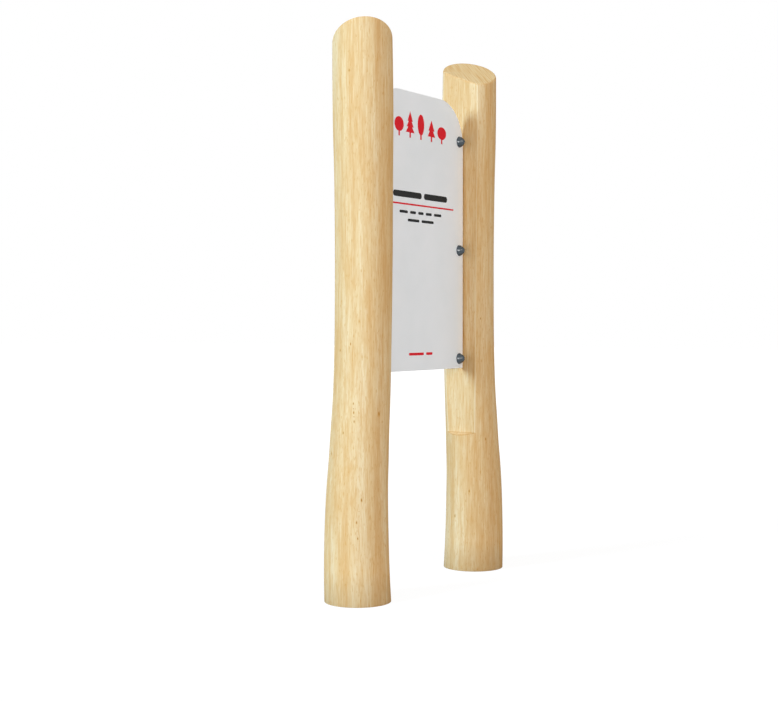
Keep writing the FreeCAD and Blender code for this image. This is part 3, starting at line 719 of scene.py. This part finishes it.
def capTree():
    # A row of domes, hollow inside, with a small rounded skirt at the foot
    tree = newTree("capRow", capSizes)
    given = addNode(tree, "NodeGroupInput").outputs
    steps = cap["steps"]
    grid = addNode(tree, "GeometryNodeMeshGrid", (1, 1, cap["columns"] + 1, 2 * steps + 2))
    across = addNode(tree, "ShaderNodeSeparateXYZ", (grid.outputs["UV Map"],))
    angle = addNode(tree, "ShaderNodeMath", (across, 2 * math.pi), operation="MULTIPLY")
    row = addNode(tree, "ShaderNodeMath", (across.outputs["Y"], 2 * steps + 1), operation="MULTIPLY")
    outer = addNode(tree, "ShaderNodeMapRange", (row, 0, steps, 0, 1))
    inner = addNode(tree, "ShaderNodeMapRange", (row, steps + 1, 2 * steps + 1, 0, 1))
    share = addNode(tree, "ShaderNodeMath", (outer, inner), operation="SUBTRACT")
    inside = addNode(tree, "ShaderNodeMath", (row, steps + 0.5), operation="GREATER_THAN")
    thinner = addNode(tree, "ShaderNodeMath", (inside, cap["wall"]), operation="MULTIPLY")
    radius = addNode(tree, "ShaderNodeMath", (given["Radius"], thinner), operation="SUBTRACT")
    height = addNode(tree, "ShaderNodeMath", (given["Height"], thinner), operation="SUBTRACT")
    fall = addNode(tree, "ShaderNodeMath", (share, cap["power"]), operation="POWER")
    fall = addNode(tree, "ShaderNodeMath", (1, fall), operation="SUBTRACT")
    height = addNode(tree, "ShaderNodeMath", (height, fall), operation="MULTIPLY")
    skirt = addNode(tree, "ShaderNodeMath", (radius, cap["skirt"]), operation="SUBTRACT")
    radius = addNode(tree, "ShaderNodeMath", (radius, share), operation="MULTIPLY")
    radius = addNode(
        tree, "ShaderNodeMath", (radius, skirt, cap["skirtEase"]), operation="SMOOTH_MIN"
    )
    cosine = addNode(tree, "ShaderNodeMath", (angle,), operation="COSINE")
    sine = addNode(tree, "ShaderNodeMath", (angle,), operation="SINE")
    x = addNode(tree, "ShaderNodeMath", (cosine, radius), operation="MULTIPLY")
    z = addNode(tree, "ShaderNodeMath", (sine, radius), operation="MULTIPLY")
    z = addNode(tree, "ShaderNodeMath", (z, given["Facing"]), operation="MULTIPLY")
    y = addNode(tree, "ShaderNodeMath", (height, given["Facing"]), operation="MULTIPLY")
    place = addNode(tree, "ShaderNodeCombineXYZ", (x, y, z))
    dome = addNode(tree, "GeometryNodeSetPosition", {"Geometry": grid, "Position": place})
    dome = addNode(tree, "GeometryNodeMergeByDistance", {"Geometry": dome, "Distance": cap["weld"]})
    dome = addNode(tree, "GeometryNodeSetShadeSmooth", (dome,))
    line = addNode(
        tree, "GeometryNodeMeshLine",
        {"Count": given["Count"], "Start Location": given["First"], "Offset": given["Last"]},
        mode="END_POINTS",
    )
    row = addNode(tree, "GeometryNodeInstanceOnPoints", {"Points": line, "Instance": dome})
    real = addNode(tree, "GeometryNodeRealizeInstances", (row,))
    painted = addNode(tree, "GeometryNodeSetMaterial", {0: real, "Material": capMaterial})
    addNode(tree, "NodeGroupOutput", (painted,))
    return tree


tree = capTree()
for side in ("left", "right"):
    for face, facing in (("front", -1.0), ("rear", 1.0)):
        name = side + "_" + face + "_caps"
        low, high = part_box(name)
        radius = (high.x - low.x) / 2
        seat = high.y if facing < 0 else low.y
        sizes = {
            **capSizes,
            "First": Vector((low.x + radius, seat, low.z + radius)),
            "Last": Vector((low.x + radius, seat, high.z - radius)),
            "Radius": radius,
            "Height": high.y - low.y,
            "Facing": facing,
        }
        piece = runTree(tree, side + face.title() + "Caps", sizes)
        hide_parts(name)
print("bolt caps in place")

# Edges rounded on the pieces whose CAD shape is sharp: material, slot and width in millimetres
steelMaterial = turnedStainless()
zincMaterial = dippedZinc()
rounding = {
    "sign_panel": (greyLaminate(), "printed_board", 0.8),
    "red_graphics": (satinVinyl("redVinyl", film["red"]), "red_film", 0.04),
    "black_graphics": (satinVinyl("blackVinyl", film["black"]), "black_film", 0.04),
    "left_bracket": (zincMaterial, "zinc_steel", 0.5),
    "right_bracket": (zincMaterial, "zinc_steel", 0.5),
    "left_coach_screws": (zincMaterial, "zinc_steel", 0.4),
    "right_coach_screws": (zincMaterial, "zinc_steel", 0.4),
    "left_coach_washers": (zincMaterial, "zinc_steel", 0.3),
    "right_coach_washers": (zincMaterial, "zinc_steel", 0.3),
}
# How a copy is merged and rounded: points closer than this become one, faces within the flat angle
# join, and edges sharper than the sharp one are rounded. The flat faces keep their own normals.
edges = {
    "weld": 0.001 * mm,
    "flatAngle": math.radians(1),
    "sharpAngle": math.radians(40),
    "segments": 2,
    "flatness": 100,
}


def isShared(edge):
    # Whether an edge in the film's front or back has more than two faces
    start, end = edge.verts
    return len(edge.link_faces) > 2 and abs(start.co.y - end.co.y) < edges["weld"]


def removeInnerWalls(work):
    # The solids of the film touch, and the walls where they meet are inside the piece.
    # Cuts at the level of each underside give neighbours the same corners, so that they
    # share the edges of such a wall.
    bmesh.ops.dissolve_limit(work, angle_limit=edges["flatAngle"], verts=[], edges=work.edges)
    facingDown, acrossFilm = -0.99, 0.5
    undersides = [face for face in work.faces if face.normal.z < facingDown]
    for level in sorted({round(face.verts[0].co.z, 6) for face in undersides}):
        everything = work.verts[:] + work.edges[:] + work.faces[:]
        bmesh.ops.bisect_plane(
            work, geom=everything, dist=edges["weld"], plane_co=(0, 0, level), plane_no=(0, 0, 1)
        )
    bmesh.ops.remove_doubles(work, verts=work.verts, dist=edges["weld"])
    walls = [face for face in work.faces if abs(face.normal.y) < acrossFilm]
    inner = [face for face in walls if any(isShared(edge) for edge in face.edges)]
    bmesh.ops.delete(work, geom=inner, context="FACES")


def roundedCopy(node, material, width):
    # A merged copy of a CAD node with its sharp edges rounded
    first, *rest = node.split("_")
    name = first + "".join(word.title() for word in rest)
    mesh = nodes[node].data.copy()
    mesh.materials.clear()
    mesh.materials.append(material)
    work = bmesh.new()
    work.from_mesh(mesh)
    if node.endswith("graphics"):
        removeInnerWalls(work)
    bmesh.ops.remove_doubles(work, verts=work.verts, dist=edges["weld"])
    bmesh.ops.dissolve_limit(work, angle_limit=edges["flatAngle"], verts=work.verts, edges=work.edges)
    for face in work.faces:
        face.smooth = True
        face.material_index = 0
    work.to_mesh(mesh)
    work.free()
    piece = bpy.data.objects.new(name, mesh)
    scene.collection.objects.link(piece)
    bevel = piece.modifiers.new("edges", "BEVEL")
    bevel.width = width
    bevel.segments = edges["segments"]
    bevel.limit_method = "ANGLE"
    bevel.angle_limit = edges["sharpAngle"]
    flatness = piece.modifiers.new("flatness", "WEIGHTED_NORMAL")
    flatness.weight = edges["flatness"]
    evaluated = piece.evaluated_get(bpy.context.evaluated_depsgraph_get())
    rounded = bpy.data.meshes.new_from_object(evaluated)
    piece.modifiers.clear()
    piece.data = rounded
    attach(piece, "root")
    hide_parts(node)
    return piece


for node, (material, slot, width) in rounding.items():
    roundedCopy(node, material, width * mm)
print("edges rounded on", len(rounding), "pieces")

# Finishes of the pieces whose CAD shape stays, by their names without the side
finishes = {
    "foot_socket": zincMaterial,
    "panel_bolts": steelMaterial,
    "front_washers": steelMaterial,
    "rear_washers": steelMaterial,
    "lock_nuts": steelMaterial,
    "front_cap_bases": capMaterial,
    "rear_cap_bases": capMaterial,
}
for name, node in nodes.items():
    material = finishes.get(name.split("_", 1)[1])
    if material:
        node.data.materials.clear()
        node.data.materials.append(material)
print("finishes given")

# Studio: pale floor, a weak all-round light that is warmer and dimmer off the sign's right end, a large
# cool softbox off its left end a little behind the board, and a larger, nearly neutral one in front.
# To the camera, the floor is its own white by floorShare, near the sign and far from it, and the share
# grows over the distances of floorFade in metres. Lit paint, with clouds in millimetres, is the rest.
studio = {
    "brightWay": Vector((-0.8, 0, 0.6)).normalized(),
    "bright": ("#FFFFFF", 0.48),
    "dim": ("#FFB070", 0.08),
    "lampAim": Vector((0, 0, 0.9)),
    "floor": "#CCCCCC",
    "floorShare": (0.8, 1.0),
    "floorFade": (2.0, 5.0),
    "floorGlow": 1.14,
    "floorCloud": 333.3,
    "floorRoughness": (0.85, 0.95),
    "floorHalf": 30.0,
    "floorLevel": -0.5 * mm,
}
# Place, width in metres, power and colour of each softbox, and whether it lights the sign or only
# glints in its glossy finishes
softboxes = {
    "sideBox": (Vector((-9.2, 3.2, 3.5)), 3.6, 1150.0, "#BFE0FF", True),
    "frontBox": (Vector((-5.1, -9.8, 4.3)), 5.6, 550.0, "#FFFBF5", True),
    "shineBox": (Vector((-9.0, -3.6, 1.4)), 2.8, 600.0, "#FFFFFF", False),
}


def addSoftbox(name, place, size, power, tone, lights):
    data = bpy.data.lights.new(name, "AREA")
    data.shape = "SQUARE"
    data.size = size
    data.energy = power
    data.color = linearColour(tone)[:3]
    lamp = bpy.data.objects.new(name, data)
    lamp.location = place
    lamp.rotation_euler = (studio["lampAim"] - place).to_track_quat("-Z", "Y").to_euler()
    lamp.visible_diffuse = lights
    scene.collection.objects.link(lamp)


def seenDirectly(tree):
    # 1 for the rays that should meet plain white: the camera's, and those mirrored or sent through glass
    path = addNode(tree, "ShaderNodeLightPath").outputs
    seen = path["Is Camera Ray"]
    for kind in ("Is Glossy Ray", "Is Transmission Ray"):
        seen = addNode(tree, "ShaderNodeMath", (seen, path[kind]), operation="MAXIMUM")
    return seen


def addWorld():
    world = bpy.data.worlds.new("studio")
    world.use_nodes = True
    tree = world.node_tree
    tree.nodes.clear()
    way = addNode(tree, "ShaderNodeTexCoord").outputs["Generated"]
    facing = addNode(tree, "ShaderNodeVectorMath", (way, studio["brightWay"]), operation="DOT_PRODUCT")
    share = addNode(tree, "ShaderNodeMapRange", (facing.outputs["Value"], -1, 1, 0, 1))
    dim, bright = (
        [channel * power for channel in linearColour(tone)]
        for tone, power in (studio["dim"], studio["bright"])
    )
    light = addNode(tree, "ShaderNodeMix", {0: share, 6: dim, 7: bright}, data_type="RGBA").outputs[2]
    light = addNode(
        tree, "ShaderNodeMix", {0: seenDirectly(tree), 6: light, 7: (1, 1, 1, 1)}, data_type="RGBA"
    ).outputs[2]
    sky = addNode(tree, "ShaderNodeBackground", {"Color": light, "Strength": 1.0})
    addNode(tree, "ShaderNodeOutputWorld", (sky,))
    scene.world = world


def addFloor():
    # The lit paint is enough to show a faint shadow in the white
    material, tree = newMaterial("paleFloor")
    here = addNode(tree, "ShaderNodeTexCoord").outputs["Object"]
    scale = 1 / studio["floorCloud"] / mm
    cloud = addNode(tree, "ShaderNodeTexNoise", {"Vector": here, "Scale": scale, "Detail": 2})
    rough = addNode(tree, "ShaderNodeMapRange", (cloud, *noiseRange, *studio["floorRoughness"]))
    paint = addNode(
        tree, "ShaderNodeBsdfDiffuse", {"Color": linearColour(studio["floor"]), "Roughness": rough}
    )
    glow = addNode(tree, "ShaderNodeEmission", {"Color": (1, 1, 1, 1), "Strength": studio["floorGlow"]})
    away = addNode(tree, "ShaderNodeVectorMath", (here,), operation="LENGTH").outputs["Value"]
    share = addNode(tree, "ShaderNodeMapRange", (away, *studio["floorFade"], *studio["floorShare"]))
    share = addNode(tree, "ShaderNodeMath", (share, seenDirectly(tree)), operation="MULTIPLY")
    mixed = addNode(tree, "ShaderNodeMixShader", (share, paint, glow))
    addNode(tree, "ShaderNodeOutputMaterial", (mixed,))
    mesh = bpy.data.meshes.new("floor")
    half, level = studio["floorHalf"], studio["floorLevel"]
    corners = [(-half, -half, level), (half, -half, level), (half, half, level), (-half, half, level)]
    mesh.from_pydata(corners, [], [(0, 1, 2, 3)])
    mesh.materials.append(material)
    floor = bpy.data.objects.new("floor", mesh)
    scene.collection.objects.link(floor)


# Camera: where the photograph was taken from, found by matching the posts and the board
view = {
    "place": Vector((-3.2524, -2.0342, 0.7361)),
    "heading": math.radians(33.291),
    "pitch": math.radians(-1.271),
    "focalPixels": 1370,
    "imageWidth": 778,
    "sensorWidth": 36,
    "clipEnd": 200,
}


def addCamera():
    data = bpy.data.cameras.new("camera")
    data.sensor_width = view["sensorWidth"]
    data.lens = view["focalPixels"] / view["imageWidth"] * view["sensorWidth"]
    data.clip_end = view["clipEnd"]
    camera = bpy.data.objects.new("camera", data)
    camera.location = view["place"]
    camera.rotation_euler = (math.pi / 2 + view["pitch"], 0, view["heading"] - math.pi / 2)
    scene.collection.objects.link(camera)
    scene.camera = camera


for name, box in softboxes.items():
    addSoftbox(name, *box)
addWorld()
addFloor()
addCamera()
scene.view_settings.view_transform = "Standard"
print("studio and camera in place")
